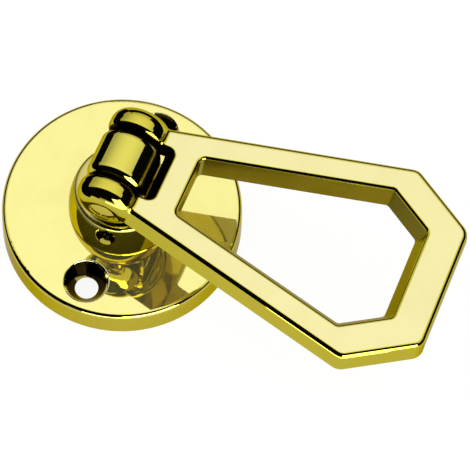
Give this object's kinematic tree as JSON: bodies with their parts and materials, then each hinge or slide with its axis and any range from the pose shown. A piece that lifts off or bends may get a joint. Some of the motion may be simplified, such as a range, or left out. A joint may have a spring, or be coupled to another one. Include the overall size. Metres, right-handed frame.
{
  "type": "drop pull",
  "caption": "Polished brass drop pull for a cabinet or drawer: a round rose with two screw holes, a post, and an elongated six-sided drop that swings on a hinge pin.",
  "frame": {"origin": "centre of the rose's back, on the plane that seats on the drawer front", "axes": "+Z out of the front, away from the drawer; +X along the hinge pin and the line of the two screw holes; the drop hangs along -Y"},
  "size_m": [0.0384, 0.0719, 0.026],
  "materials": {
    "polished_brass": "mirror polished and lacquered",
    "plain_brass": "as turned"
  },
  "bodies": {
    "fixed_base": {"rose": "polished_brass", "post": "polished_brass", "post_screw": "plain_brass"},
    "hinged_drop": {"drop": "polished_brass", "hinge_pin": "polished_brass"}
  },
  "joints": [
    {"name": "drop_hinge", "type": "hinge", "parent": "fixed_base", "child": "hinged_drop", "pos_m": [0, -0.0004, 0.0212], "axis": [-1, 0, 0], "range_deg": [0, 200]}
  ]
}
